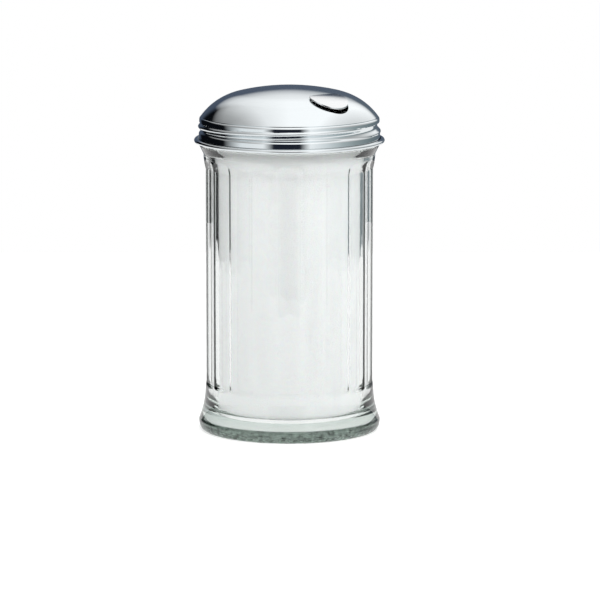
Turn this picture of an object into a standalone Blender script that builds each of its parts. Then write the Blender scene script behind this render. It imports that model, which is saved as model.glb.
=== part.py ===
"""Fluted glass sugar dispenser with a screwed steel lid and a hinged pouring flap.

Metres, +Z up. The origin is the centre of the base, at table height. Each object is one physical piece.
The flap's pieces are drawn in the upright plane that holds the jar's axis and the middle of the
pouring hole: there u is the distance from the axis towards the hole, and v is square to that plane.
"""

import math

import bmesh
import bpy
from mathutils import Matrix, Vector

TOTAL_HEIGHT = 0.1407
FIT_GAP = 0.0003  # clearance between pieces that lie on or slide past each other
OVERRUN = 0.004  # how far a cutter reaches past what it cuts
WELD_DISTANCE = 0.000001
SHARP_ANGLE = math.radians(30)  # edges sharper than this are shaded as edges

# Lid, rolled and spun from one steel sheet
SHEET = 0.0005
CROWN_RADIUS = 0.0915  # of the flat arc over the top of the dome
SHOULDER_RADIUS = 0.0253  # of the tighter arc at the dome's edge
SHOULDER_REACH = 0.0210  # from that arc's centre out to the bead's crest
SKIRT_RADIUS = 0.0357
BAND_RISE = 0.0011  # of the skirt's wider foot band over the skirt
BAND_HEIGHT = 0.0028  # from the middle of the curled edge to the top of that band
BAND_STEP = 0.0016  # height over which the band steps in to the skirt
BEAD_RISE = 0.0009  # of the ring bead under the dome, over the skirt
BEAD_FILLET = 0.0010
BEAD_FALL = 0.0017  # height over which the bead runs out into the skirt
LID_DROP = 0.0219  # from the top of the dome to the middle of the curled edge
CURL_REACH = 0.0012  # half the width of the curl's oval section
CURL_RISE = 0.0009  # half its height

# Screw thread, rolled into the skirt and pressed into the glass
THREAD_PITCH = 0.0040
THREAD_DROP = 0.00085  # from the bead's crest to the thread's start
THREAD_RISE = 0.0014  # of the rolled thread over the skirt
THREAD_HALF_WIDTH = 0.0020
THREAD_TURNS = 1.2
THREAD_FADE_TURNS = 0.2
GLASS_THREAD_RISE = 0.0011
GLASS_THREAD_SECTION = 0.0013  # radius of the glass ridge's section
GLASS_THREAD_END_SHARE = 0.3  # of that radius, left at the ridge's two ends

# Jar
PANELS = 20
PANEL_RADIUS = 0.03375  # from the axis to the middle of a flat panel
NECK_RELIEF = 0.00115  # of the round blank over the middle of a panel, at the neck
FOOT_RELIEF = 0.00065  # the same at the panels' feet
PANEL_SLOPE_SHARE = 1.5  # of the relief, that a panel's end slopes out by, so that it clears the blank
PANEL_RUN_OUT = 0.0040  # height over which a panel's top slopes back out to the blank
PANEL_OVERSLOPE = 0.0020  # how much further up that slope is carried
PANEL_FOOT_RUN_OUT = 0.0022
PANEL_FOOT_HEIGHT = 0.0198
NECK_BAND = 0.00595  # from the top of the panels to the top of the collar
COLLAR_OVERHANG = 0.0010  # of the collar over the lid's skirt radius
COLLAR_HEIGHT = 0.0041
COLLAR_EDGE = 0.0005
BASE_FLARE = 0.00335  # of the base over the panels
BASE_EDGE_HEIGHT = 0.0040
BASE_EDGE_TUCK = 0.00175
FLARE_HEIGHT = 0.0135
FLARE_POWER = 2.0
BEARING_WIDTH = 0.0080  # of the flat ring that the jar stands on
PUSH_UP = 0.0012
GLASS_WALL = 0.0033  # at the middle of a panel
GLASS_FLOOR = 0.0060
FLOOR_CORNER = 0.0045
FINISH_WALL = 0.0040  # of the threaded neck
RIM_EDGE = 0.0015
SUGAR_HEADSPACE = 0.0080  # from the top of the sugar to the rim
SUGAR_CROWN = 0.0015

# Pouring hole and flap
FLAP_AZIMUTH = math.radians(-49.5)
HOLE_DISTANCE = 0.0244  # from the axis to the middle of the hole
HOLE_HALF_WIDTH = 0.0079
HOLE_REACH = 0.0080
HOLE_BACK = 0.0047  # from the hole's middle to its straight inner edge
LEAF_SHEET = 0.00045
LEAF_HALF_WIDTH = 0.0082
LEAF_REACH = 0.0074
LEAF_BEND = 0.0386  # radius of the leaf's curve
LEAF_BACK_LIFT = 0.00012  # of the leaf's underside over the dome, at its inner edge
LEAF_TIP_LIFT = 0.0013
PIN_RADIUS = 0.00045
PIN_PLAY = 0.00015
PIN_SETBACK = 0.0010  # from the leaf's inner edge in to the pin
PIN_DEPTH = 0.00105  # of the pin's middle under the dome's outer face
PIN_END = 0.00015  # how far the pin stands out of each ear
KNUCKLE_WALL = 0.0004
NECK_HALF_WIDTH = 0.0020
NECK_TAIL = 0.0008  # how far the neck is drawn into the leaf
NECK_ROOT = 0.0002  # from the leaf's inner edge to where the neck leaves its sheet
NECK_SKIN_SHARE = 0.2  # of the leaf's sheet, left over and under the neck there
ROLL_START = math.radians(80)  # the knuckle's roll, counted from the leaf's side
ROLL_END = math.radians(400)
EAR_SHEET = 0.0005
EAR_DEPTH = 0.0021
SADDLE_LENGTH = 0.0062

JAR_STEPS = 60
LID_STEPS = 48
THREAD_STEPS = 24  # of the glass ridge, in one turn
SKIRT_RINGS = 3  # in half the width of the rolled thread
LEAF_STEPS = 10
SADDLE_STEPS = 5
HINGE_STEPS = 16

# Places that follow from the sizes above
BEAD_RADIUS = SKIRT_RADIUS + BEAD_RISE
SHOULDER_OFFSET = BEAD_RADIUS - SHOULDER_REACH
CROWN_Z = TOTAL_HEIGHT - CROWN_RADIUS
SHOULDER_Z = CROWN_Z + math.sqrt((CROWN_RADIUS - SHOULDER_RADIUS) ** 2 - SHOULDER_OFFSET**2)
CROWN_EDGE = CROWN_RADIUS * SHOULDER_OFFSET / (CROWN_RADIUS - SHOULDER_RADIUS)
FILLET_RUN = SHOULDER_REACH - BEAD_FILLET
BEAD_Z = SHOULDER_Z + math.sqrt((SHOULDER_RADIUS - BEAD_FILLET) ** 2 - FILLET_RUN**2)
CURL_Z = TOTAL_HEIGHT - LID_DROP
SKIRT_FOOT_Z = CURL_Z + CURL_RISE
SKIRT_FOOT_RADIUS = SKIRT_RADIUS + BAND_RISE
BAND_Z = CURL_Z + BAND_HEIGHT
CURL_CENTRE = SKIRT_FOOT_RADIUS + CURL_REACH - SHEET
THREAD_Z = BEAD_Z - THREAD_DROP

GLASS_THREAD_RADIUS = SKIRT_RADIUS - SHEET - FIT_GAP
FINISH_RADIUS = GLASS_THREAD_RADIUS - GLASS_THREAD_RISE
MOUTH_RADIUS = FINISH_RADIUS - FINISH_WALL
CAVITY_RADIUS = PANEL_RADIUS - GLASS_WALL
COLLAR_RADIUS = SKIRT_RADIUS + COLLAR_OVERHANG
COLLAR_Z = CURL_Z - CURL_RISE - FIT_GAP
PANEL_TOP_Z = COLLAR_Z - NECK_BAND
BLANK_NECK_RADIUS = PANEL_RADIUS + NECK_RELIEF
BLANK_FOOT_RADIUS = PANEL_RADIUS + FOOT_RELIEF
BASE_RADIUS = PANEL_RADIUS + BASE_FLARE
# The rim's rounded edge lies against the underside of the dome's shoulder
RIM_RUN = FINISH_RADIUS - RIM_EDGE - SHOULDER_OFFSET
RIM_CLEAR_RADIUS = SHOULDER_RADIUS - SHEET - FIT_GAP - RIM_EDGE
RIM_Z = SHOULDER_Z + math.sqrt(RIM_CLEAR_RADIUS**2 - RIM_RUN**2) + RIM_EDGE
SUGAR_Z = RIM_Z - SUGAR_HEADSPACE

HOLE_BACK_U = HOLE_DISTANCE - HOLE_BACK
LEAF_BACK_U = HOLE_BACK_U + FIT_GAP
LEAF_TIP_U = HOLE_DISTANCE + LEAF_REACH
PIN_U = LEAF_BACK_U - PIN_SETBACK
BORE_RADIUS = PIN_RADIUS + PIN_PLAY
KNUCKLE_RADIUS = BORE_RADIUS + KNUCKLE_WALL
NOTCH_RADIUS = KNUCKLE_RADIUS + FIT_GAP
EAR_INNER_V = NECK_HALF_WIDTH + FIT_GAP
EAR_OUTER_V = EAR_INNER_V + EAR_SHEET
PIN_HALF_LENGTH = EAR_OUTER_V + PIN_END
SADDLE_FRONT_U = PIN_U - NOTCH_RADIUS - FIT_GAP
SADDLE_BACK_U = SADDLE_FRONT_U - SADDLE_LENGTH
# Lies the flap's plane along X and Z: local X is u, local Y is up, local Z is -v
FLAP_PLANE = Matrix.Rotation(FLAP_AZIMUTH, 4, "Z") @ Matrix.Rotation(math.radians(90), 4, "X")


def dome_z(radius, inset=0.0):
    """Height of the dome's outer face at a distance from the axis, or of a face that far inside it."""
    if radius <= CROWN_EDGE:
        return CROWN_Z + math.sqrt((CROWN_RADIUS - inset) ** 2 - radius**2)
    return SHOULDER_Z + math.sqrt((SHOULDER_RADIUS - inset) ** 2 - (radius - SHOULDER_OFFSET) ** 2)


PIN_Z = dome_z(PIN_U) - PIN_DEPTH


def arc(centre, radii, start, end, steps):
    """Points of an oval's arc between two angles in radians, both ends included."""
    angles = [start + (end - start) * i / steps for i in range(steps + 1)]
    return [(centre[0] + radii[0] * math.cos(a), centre[1] + radii[1] * math.sin(a)) for a in angles]


def bump(offset, half_width):
    """1 at the middle of a rounded ridge, falling to 0 at its edges."""
    share = min(abs(offset) / half_width, 1.0)
    return math.cos(share * math.pi / 2) ** 2


def smooth(share):
    """Eases from 0 to 1 as the share goes from 0 to 1."""
    share = min(max(share, 0.0), 1.0)
    return share * share * (3 - 2 * share)


def thread_strength(turns):
    """How much of its full height the rolled thread has, that many turns below its start."""
    fade_in = smooth(turns / THREAD_FADE_TURNS)
    fade_out = smooth((THREAD_TURNS - turns) / THREAD_FADE_TURNS)
    return fade_in * fade_out


def skirt_radius(z, azimuth):
    """Outer radius of the lid's skirt, with its bead, foot band and right-hand thread."""
    band = BAND_RISE * smooth((BAND_Z + BAND_STEP - z) / BAND_STEP)
    rise = max(band, BEAD_RISE * bump(BEAD_Z - z, BEAD_FALL))
    first_turn = 1 - (azimuth / (2 * math.pi)) % 1.0
    for lap in range(math.ceil(THREAD_TURNS)):
        turns = first_turn + lap
        ridge = bump(z - (THREAD_Z - THREAD_PITCH * turns), THREAD_HALF_WIDTH)
        rise = max(rise, THREAD_RISE * ridge * thread_strength(turns))
    return SKIRT_RADIUS + rise


def material(name, colour, roughness, metallic=0.0, transmission=0.0):
    made = bpy.data.materials.new(name)
    made.use_nodes = True
    shader = made.node_tree.nodes["Principled BSDF"]
    shader.inputs["Base Color"].default_value = (*colour, 1.0)
    shader.inputs["Roughness"].default_value = roughness
    shader.inputs["Metallic"].default_value = metallic
    shader.inputs["Transmission Weight"].default_value = transmission
    return made


def add_object(name, mesh, where, finish=None):
    obj = bpy.data.objects.new(name, mesh)
    where.objects.link(obj)
    if finish:
        mesh.materials.append(finish)
        mesh.shade_smooth()
        mesh.set_sharp_from_angle(angle=SHARP_ANGLE)
    return obj


def add_cutter(obj):
    obj.hide_render = True
    obj.display_type = "WIRE"
    return obj


def mesh_from(bm, name):
    mesh = bpy.data.meshes.new(name)
    bm.to_mesh(mesh)
    bm.free()
    return mesh


def turned(name, outline, steps, where, finish=None):
    """A turned solid. The outline runs from the axis down the outer side and back to the axis."""
    bm = bmesh.new()
    points = [bm.verts.new((radius, 0, z)) for radius, z in outline]
    for first, second in zip(points, points[1:]):
        bm.edges.new((first, second))
    obj = add_object(name, mesh_from(bm, name), where, finish)
    screw = obj.modifiers.new("turn", "SCREW")
    screw.steps = steps
    screw.render_steps = steps
    screw.use_merge_vertices = True
    screw.merge_threshold = WELD_DISTANCE
    screw.use_smooth_shade = True
    return obj


def mesh_of_curve(curve, name, where, matrix):
    """Makes a mesh object from a curve, with the curve's loose caps welded."""
    guide = bpy.data.objects.new(name + "_guide", curve)
    where.objects.link(guide)
    bpy.context.view_layer.update()
    evaluated = guide.evaluated_get(bpy.context.evaluated_depsgraph_get())
    mesh = bpy.data.meshes.new_from_object(evaluated)
    bm = bmesh.new()
    bm.from_mesh(mesh)
    bmesh.ops.remove_doubles(bm, verts=bm.verts, dist=WELD_DISTANCE)
    bmesh.ops.recalc_face_normals(bm, faces=bm.faces)
    bm.to_mesh(mesh)
    bm.free()
    mesh.transform(matrix)
    bpy.data.objects.remove(guide)
    return mesh


def plate(name, outlines, half_thickness, where, matrix, finish=None):
    """A flat plate from closed outlines, the first its edge and any others its holes."""
    curve = bpy.data.curves.new(name, "CURVE")
    curve.dimensions = "2D"
    curve.fill_mode = "BOTH"
    curve.extrude = half_thickness
    for outline in outlines:
        spline = curve.splines.new("POLY")
        spline.points.add(len(outline) - 1)
        for point, (x, y) in zip(spline.points, outline):
            point.co = (x, y, 0, 1)
        spline.use_cyclic_u = True
    return add_object(name, mesh_of_curve(curve, name, where, matrix), where, finish)


def combine(obj, other, operation):
    step = obj.modifiers.new(other.name, "BOOLEAN")
    step.operation = operation
    step.solver = "EXACT"
    step.object = other
    return obj


def jar_outline():
    """The round blank's outer side, from the middle of the rim down to the middle of the base."""
    quarter = math.pi / 2
    rim = arc((FINISH_RADIUS - RIM_EDGE, RIM_Z - RIM_EDGE), (RIM_EDGE, RIM_EDGE), quarter, 0, 3)
    collar_edge_z = COLLAR_Z - COLLAR_EDGE
    edge = arc((COLLAR_RADIUS - COLLAR_EDGE, collar_edge_z), (COLLAR_EDGE, COLLAR_EDGE), quarter, 0, 2)
    flange_foot = COLLAR_Z - COLLAR_HEIGHT
    under = [(BLANK_NECK_RADIUS, flange_foot)]
    flare_shares = (0.0, 0.15, 0.3, 0.45, 0.6, 0.8)
    flare = []
    for share in reversed(flare_shares):
        radius = BLANK_FOOT_RADIUS + (BASE_RADIUS - BLANK_FOOT_RADIUS) * (1 - share) ** FLARE_POWER
        flare.append((radius, BASE_EDGE_HEIGHT + FLARE_HEIGHT * share))
    flare.insert(0, (BLANK_FOOT_RADIUS, BASE_EDGE_HEIGHT + FLARE_HEIGHT))
    foot_centre = (BASE_RADIUS - BASE_EDGE_TUCK, BASE_EDGE_HEIGHT)
    foot = arc(foot_centre, (BASE_EDGE_TUCK, BASE_EDGE_HEIGHT), 0, -quarter, 4)[1:]
    bearing_inner = foot_centre[0] - BEARING_WIDTH
    base = [(bearing_inner, 0), (bearing_inner - PUSH_UP, PUSH_UP), (0, PUSH_UP)]
    return [(0, RIM_Z)] + rim + [(FINISH_RADIUS, COLLAR_Z)] + edge + under + flare + foot + base


def panel_tool_outline():
    """Outline of the faceted tool: its corners, so its flats lie at the panels' radius."""
    to_corner = 1 / math.cos(math.pi / PANELS)
    corner = PANEL_RADIUS * to_corner
    wide = (COLLAR_RADIUS + BASE_FLARE + OVERRUN) * to_corner
    top_end = PANEL_TOP_Z + PANEL_OVERSLOPE
    foot_end = PANEL_FOOT_HEIGHT - PANEL_FOOT_RUN_OUT
    return [
        (0, TOTAL_HEIGHT + OVERRUN),
        (wide, TOTAL_HEIGHT + OVERRUN),
        (wide, top_end),
        (corner + NECK_RELIEF * PANEL_SLOPE_SHARE, top_end),
        (corner, PANEL_TOP_Z - PANEL_RUN_OUT),
        (corner, PANEL_FOOT_HEIGHT),
        (corner + FOOT_RELIEF * PANEL_SLOPE_SHARE, foot_end),
        (wide, foot_end),
        (wide, -OVERRUN),
        (0, -OVERRUN),
    ]


def cavity_outline(shrink, top_z, crown):
    """The jar's hollow from its axis at the top down to its floor, drawn in by a clearance.

    The crown is how far its top rises from the wall to the axis.
    """
    radius = CAVITY_RADIUS - shrink
    mouth = MOUTH_RADIUS - shrink
    floor_z = GLASS_FLOOR + shrink
    corner = FLOOR_CORNER - shrink
    bottom = arc((radius - corner, floor_z + corner), (corner, corner), 0, -math.pi / 2, 4)
    neck_z = COLLAR_Z - COLLAR_HEIGHT
    neck = [(mouth, top_z - crown), (mouth, COLLAR_Z), (radius, neck_z)]
    return [(0, top_z)] + neck + bottom + [(0, floor_z)]


def glass_thread(where):
    """The helical ridge that is pressed on the jar's neck, tapered at both ends."""
    curve = bpy.data.curves.new("glass_thread", "CURVE")
    curve.dimensions = "3D"
    curve.bevel_depth = GLASS_THREAD_SECTION
    curve.bevel_resolution = 1
    curve.use_fill_caps = True
    count = round((THREAD_TURNS - THREAD_FADE_TURNS) * THREAD_STEPS)
    spline = curve.splines.new("POLY")
    spline.points.add(count)
    centre_radius = GLASS_THREAD_RADIUS - GLASS_THREAD_SECTION
    for i, point in enumerate(spline.points):
        turns = THREAD_FADE_TURNS / 2 + i / THREAD_STEPS
        angle = -2 * math.pi * turns
        place = (centre_radius * math.cos(angle), centre_radius * math.sin(angle))
        point.co = (*place, THREAD_Z - THREAD_PITCH * turns, 1)
        end_turns = min(i, count - i) / THREAD_STEPS
        full_share = smooth(end_turns / THREAD_FADE_TURNS)
        point.radius = GLASS_THREAD_END_SHARE + (1 - GLASS_THREAD_END_SHARE) * full_share
    return add_object("glass_thread", mesh_of_curve(curve, "glass_thread", where, Matrix()), where)


def make_jar(parts, cutters, glass):
    jar = turned("glass_jar", jar_outline(), JAR_STEPS, parts, glass)
    tool = add_cutter(turned("panel_tool", panel_tool_outline(), PANELS, cutters))
    tool.rotation_euler.z = math.pi / PANELS
    hollow = cavity_outline(0.0, RIM_Z + OVERRUN, 0.0)
    cavity = add_cutter(turned("cavity_tool", hollow, JAR_STEPS, cutters))
    thread = add_cutter(glass_thread(cutters))
    combine(jar, tool, "INTERSECT")
    combine(jar, thread, "UNION")
    combine(jar, cavity, "DIFFERENCE")
    return jar


def make_sugar(parts, white):
    heap = cavity_outline(FIT_GAP, SUGAR_Z, SUGAR_CROWN)
    return turned("sugar_fill", heap, JAR_STEPS, parts, white)


def lid_profile():
    """The sheet's outer face from the top of the dome down the skirt and round the curled edge."""
    crown_shares = (0.0, 0.25, 0.5, 0.75)
    crown = [(CROWN_EDGE * share, dome_z(CROWN_EDGE * share)) for share in crown_shares]
    centre = (SHOULDER_OFFSET, SHOULDER_Z)
    top = math.acos(SHOULDER_OFFSET / (CROWN_RADIUS - SHOULDER_RADIUS))
    edge = math.atan2(BEAD_Z - SHOULDER_Z, FILLET_RUN)
    shoulder = arc(centre, (SHOULDER_RADIUS, SHOULDER_RADIUS), top, edge, 7)
    fillet_centre = (BEAD_RADIUS - BEAD_FILLET, BEAD_Z)
    fillet = arc(fillet_centre, (BEAD_FILLET, BEAD_FILLET), edge, 0, 2)[1:]
    drop = BEAD_Z - SKIRT_FOOT_Z
    rings = math.ceil(drop / THREAD_HALF_WIDTH * SKIRT_RINGS)
    skirt = [(SKIRT_RADIUS, BEAD_Z - drop * i / rings) for i in range(1, rings + 1)]
    roll = (CURL_REACH - SHEET, CURL_RISE - SHEET)
    # The roll ends short of the skirt, by the fit gap
    end = 2 * math.pi + math.acos((SKIRT_FOOT_RADIUS + FIT_GAP - CURL_CENTRE) / CURL_REACH)
    curl = arc((CURL_CENTRE, CURL_Z), roll, math.pi, end, 9)
    return crown + shoulder + fillet + skirt + curl


def sheet_lid(parts, steel):
    """Spins the profile, rolls the bead and the thread into the skirt, and gives the sheet its thickness."""
    bm = bmesh.new()
    points = [bm.verts.new((radius, 0, z)) for radius, z in lid_profile()]
    edges = [bm.edges.new(pair) for pair in zip(points, points[1:])]
    bmesh.ops.spin(
        bm, geom=points + edges, cent=(0, 0, 0), axis=(0, 0, 1), angle=2 * math.pi,
        steps=LID_STEPS, use_merge=True,
    )
    bmesh.ops.remove_doubles(bm, verts=bm.verts, dist=WELD_DISTANCE)
    for vert in bm.verts:
        flat = Vector((vert.co.x, vert.co.y, 0))
        on_skirt = flat.length < SKIRT_RADIUS + WELD_DISTANCE and vert.co.z < BEAD_Z - WELD_DISTANCE
        if on_skirt and vert.co.z > SKIRT_FOOT_Z - WELD_DISTANCE:
            azimuth = math.atan2(vert.co.y, vert.co.x)
            flat = flat.normalized() * skirt_radius(vert.co.z, azimuth)
            vert.co = (flat.x, flat.y, vert.co.z)
    bmesh.ops.recalc_face_normals(bm, faces=bm.faces)
    lid = add_object("lid_shell", mesh_from(bm, "lid_shell"), parts, steel)
    solid = lid.modifiers.new("sheet", "SOLIDIFY")
    solid.thickness = SHEET
    solid.offset = -1
    solid.use_even_offset = True
    return lid


def hole_outline(half_width, reach, back_u, steps=20):
    """Plan of the hole or the leaf: an oval whose inner end is cut off straight, in u and v."""
    back_angle = math.acos((back_u - HOLE_DISTANCE) / reach)
    return arc((HOLE_DISTANCE, 0), (reach, half_width), -back_angle, back_angle, steps)


def upright(name, outline, low_z, high_z, where):
    """A prism that stands on a plan outline given in u and v."""
    middle = Matrix.Translation((0, 0, (low_z + high_z) / 2))
    place = middle @ Matrix.Rotation(FLAP_AZIMUTH, 4, "Z")
    return add_cutter(plate(name, [outline], (high_z - low_z) / 2, where, place))


def ring(radius):
    """A circle round the pin, in u and height."""
    return arc((PIN_U, PIN_Z), (radius, radius), 0, 2 * math.pi, HINGE_STEPS)[:-1]


def make_lid(parts, cutters, steel):
    lid = sheet_lid(parts, steel)
    outline = hole_outline(HOLE_HALF_WIDTH, HOLE_REACH, HOLE_BACK_U)
    low = dome_z(HOLE_DISTANCE + HOLE_REACH) - OVERRUN
    hole = upright("hole_tool", outline, low, TOTAL_HEIGHT + OVERRUN, cutters)
    notch_half = PIN_HALF_LENGTH + FIT_GAP
    notch = add_cutter(plate("notch_tool", [ring(NOTCH_RADIUS)], notch_half, cutters, FLAP_PLANE))
    combine(lid, hole, "DIFFERENCE")
    combine(lid, notch, "DIFFERENCE")
    return lid


def leaf_curve():
    """Centre of the leaf's curve, so that its underside clears the dome by the lifts at both ends."""
    back = Vector((LEAF_BACK_U, dome_z(LEAF_BACK_U) + LEAF_BACK_LIFT))
    tip = Vector((LEAF_TIP_U, dome_z(LEAF_TIP_U) + LEAF_TIP_LIFT))
    half_chord = (tip - back) / 2
    depth = math.sqrt(LEAF_BEND**2 - half_chord.length_squared)
    inward = Vector((half_chord.y, -half_chord.x)).normalized()
    return back + half_chord + inward * depth


def leaf_z(u, lift):
    """Height of the leaf at u, on its underside or that far above it."""
    centre = leaf_curve()
    return centre.y + math.sqrt((LEAF_BEND + lift) ** 2 - (u - centre.x) ** 2)


def leaf_slab(parts, steel):
    """The leaf's curved sheet, drawn wider and longer than the leaf."""
    centre = leaf_curve()
    spare = NECK_TAIL
    low_u = LEAF_BACK_U - spare
    high_u = LEAF_TIP_U + spare
    stations = [low_u + (high_u - low_u) * i / LEAF_STEPS for i in range(LEAF_STEPS + 1)]
    under = [(u, leaf_z(u, 0.0)) for u in stations]
    over = [(u, leaf_z(u, LEAF_SHEET)) for u in reversed(stations)]
    return plate("pour_flap", [under + over], LEAF_HALF_WIDTH + spare, parts, FLAP_PLANE, steel)


def neck_outline():
    """Side view of the knuckle and of the neck that joins it to the leaf."""
    tail_u = LEAF_BACK_U + NECK_TAIL
    root_u = LEAF_BACK_U + NECK_ROOT
    tail = (tail_u, leaf_z(tail_u, LEAF_SHEET / 2))
    over = (root_u, leaf_z(root_u, LEAF_SHEET * (1 - NECK_SKIN_SHARE)))
    roll = arc((PIN_U, PIN_Z), (KNUCKLE_RADIUS, KNUCKLE_RADIUS), ROLL_START, ROLL_END, HINGE_STEPS)
    under = (root_u, leaf_z(root_u, LEAF_SHEET * NECK_SKIN_SHARE))
    return [tail, over] + roll + [under]


def make_flap(parts, cutters, steel):
    flap = leaf_slab(parts, steel)
    outline = hole_outline(LEAF_HALF_WIDTH, LEAF_REACH, LEAF_BACK_U)
    low = dome_z(LEAF_TIP_U) - OVERRUN
    plan = upright("leaf_plan_tool", outline, low, TOTAL_HEIGHT + OVERRUN, cutters)
    neck = plate("neck_tool", [neck_outline(), ring(BORE_RADIUS)], NECK_HALF_WIDTH, cutters, FLAP_PLANE)
    combine(flap, plan, "INTERSECT")
    combine(flap, add_cutter(neck), "UNION")
    return flap


def saddle_z(u, down=0.0):
    """Height of the saddle's top at u, just under the dome, or that far below it."""
    return dome_z(u, SHEET + FIT_GAP) - down


def make_bracket(parts, cutters, steel):
    """A channel with its web spot welded under the dome and its two sides drawn out into ears."""
    stations = [SADDLE_BACK_U + SADDLE_LENGTH * i / SADDLE_STEPS for i in range(SADDLE_STEPS + 1)]
    web_top = [(u, saddle_z(u)) for u in stations]
    eye_top = math.pi - math.asin((saddle_z(PIN_U) - PIN_Z) / KNUCKLE_RADIUS)
    eye = arc((PIN_U, PIN_Z), (KNUCKLE_RADIUS, KNUCKLE_RADIUS), eye_top, -math.pi / 2, HINGE_STEPS)
    heel = (SADDLE_BACK_U, saddle_z(SADDLE_BACK_U, EAR_DEPTH))
    outline = web_top + eye + [heel]
    bracket = plate("hinge_bracket", [outline, ring(BORE_RADIUS)], EAR_OUTER_V, parts, FLAP_PLANE, steel)
    far_u = PIN_U + KNUCKLE_RADIUS + OVERRUN
    low_z = PIN_Z - EAR_DEPTH - OVERRUN
    web_under = [(u, saddle_z(u, EAR_SHEET)) for u in stations]
    start = (SADDLE_BACK_U - OVERRUN, saddle_z(SADDLE_BACK_U, EAR_SHEET))
    inside = [start] + web_under
    inside += [(SADDLE_FRONT_U, TOTAL_HEIGHT), (far_u, TOTAL_HEIGHT), (far_u, low_z), (start[0], low_z)]
    channel = add_cutter(plate("channel_tool", [inside], EAR_INNER_V, cutters, FLAP_PLANE))
    return combine(bracket, channel, "DIFFERENCE")


def make_pin(parts, steel):
    bm = bmesh.new()
    place = FLAP_PLANE @ Matrix.Translation((PIN_U, PIN_Z, 0))
    bmesh.ops.create_cone(
        bm, cap_ends=True, segments=HINGE_STEPS, radius1=PIN_RADIUS, radius2=PIN_RADIUS,
        depth=2 * PIN_HALF_LENGTH, matrix=place,
    )
    return add_object("hinge_pin", mesh_from(bm, "hinge_pin"), parts, steel)


def main():
    for old in list(bpy.data.objects):
        bpy.data.objects.remove(old)
    parts = bpy.data.collections.new("sugar_dispenser")
    cutters = bpy.data.collections.new("cutters")
    for group in (parts, cutters):
        bpy.context.scene.collection.children.link(group)

    glass = material("pressed_glass", (0.92, 0.96, 0.94), 0.03, transmission=1.0)
    steel = material("polished_steel", (0.74, 0.75, 0.76), 0.2, metallic=1.0)
    leaf_steel = material("leaf_steel", (0.80, 0.81, 0.82), 0.25, metallic=1.0)
    mill_steel = material("mill_steel", (0.55, 0.56, 0.57), 0.4, metallic=1.0)
    white = material("white_sugar", (0.93, 0.93, 0.92), 0.8)

    make_jar(parts, cutters, glass)
    make_sugar(parts, white)
    make_lid(parts, cutters, steel)
    make_flap(parts, cutters, leaf_steel)
    make_bracket(parts, cutters, mill_steel)
    make_pin(parts, mill_steel)


main()
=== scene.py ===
"""Looks of the fluted glass sugar dispenser with its steel lid and pouring flap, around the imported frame.

Metres, +Z up, in the frame's own axes: the camera looks along +Y from the front.
"""

import math

import bmesh
import bpy
from mathutils import Matrix, Vector


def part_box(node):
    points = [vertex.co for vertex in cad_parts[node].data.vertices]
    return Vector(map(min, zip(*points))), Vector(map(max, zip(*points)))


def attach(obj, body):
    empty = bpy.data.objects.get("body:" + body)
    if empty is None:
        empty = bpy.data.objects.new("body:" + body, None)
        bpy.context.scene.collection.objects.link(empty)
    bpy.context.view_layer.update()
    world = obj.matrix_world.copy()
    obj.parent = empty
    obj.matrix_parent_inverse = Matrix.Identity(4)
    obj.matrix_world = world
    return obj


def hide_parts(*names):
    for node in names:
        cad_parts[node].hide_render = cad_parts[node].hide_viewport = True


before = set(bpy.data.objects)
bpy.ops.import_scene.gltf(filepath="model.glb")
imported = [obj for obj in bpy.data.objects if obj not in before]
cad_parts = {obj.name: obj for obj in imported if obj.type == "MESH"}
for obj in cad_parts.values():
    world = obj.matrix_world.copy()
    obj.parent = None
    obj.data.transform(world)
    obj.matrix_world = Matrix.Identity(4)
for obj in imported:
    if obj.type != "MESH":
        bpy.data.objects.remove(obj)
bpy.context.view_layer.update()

MM = 0.001
FULL_TURN = 2 * math.pi
WELD = 0.001 * MM
GAP = 0.3 * MM  # between pieces that lie on or slide past each other
OVERRUN = 4.0 * MM  # how far a cutter reaches past what it cuts
SHARP_DEGREES = 30  # edges sharper than this are shaded as edges

# Heights and reaches that the frame gives
JAR_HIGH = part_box("glass_jar")[1]
LID_LOW, LID_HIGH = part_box("lid_shell")
SUGAR_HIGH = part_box("sugar_fill")[1]
PIN_LOW, PIN_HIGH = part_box("hinge_pin")
TOP_Z = LID_HIGH[2]
RIM_Z = JAR_HIGH[2]
BASE_RADIUS = JAR_HIGH[0]
CURL_RADIUS = LID_HIGH[0]

# Lid, rolled and spun from one sheet
SHEET = 0.5 * MM
CROWN_RADIUS = 91.5 * MM  # of the flat arc over the top of the dome
SHOULDER_RADIUS = 25.3 * MM  # of the tighter arc at the dome's edge
SHOULDER_REACH = 21.0 * MM  # from that arc's centre out to the bead's crest
SKIRT_RADIUS = 35.7 * MM
BAND_RISE = 1.1 * MM  # of the skirt's wider foot band
BAND_HEIGHT = 2.8 * MM
BAND_STEP = 1.6 * MM
BEAD_RISE = 0.9 * MM  # of the ring bead under the dome, over the skirt
BEAD_RADIUS = SKIRT_RADIUS + BEAD_RISE
BEAD_FILLET = 1.0 * MM
BEAD_FALL = 1.7 * MM  # height over which the bead runs out into the skirt
BEAD_FACE = 0.9 * MM  # upright part of the bead, within that fall
BEAD_ROLL = 1.15 * MM  # radius of the bead's upper half
BEAD_START = math.radians(72)  # where that roll leaves the crease under the dome
BEAD_CREASE = math.radians(2)  # of the dome's edge, turned back for the crease
CURL_RISE = 0.9 * MM  # half the height of the curl's oval section
CURL_Z = LID_LOW[2] + CURL_RISE
BAND_Z = CURL_Z + BAND_HEIGHT
SKIRT_FOOT_Z = CURL_Z + CURL_RISE
SKIRT_FOOT_RADIUS = SKIRT_RADIUS + BAND_RISE
CURL_REACH = (CURL_RADIUS - SKIRT_FOOT_RADIUS + SHEET) / 2 - WELD
CURL_CENTRE = SKIRT_FOOT_RADIUS + CURL_REACH - SHEET
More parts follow.
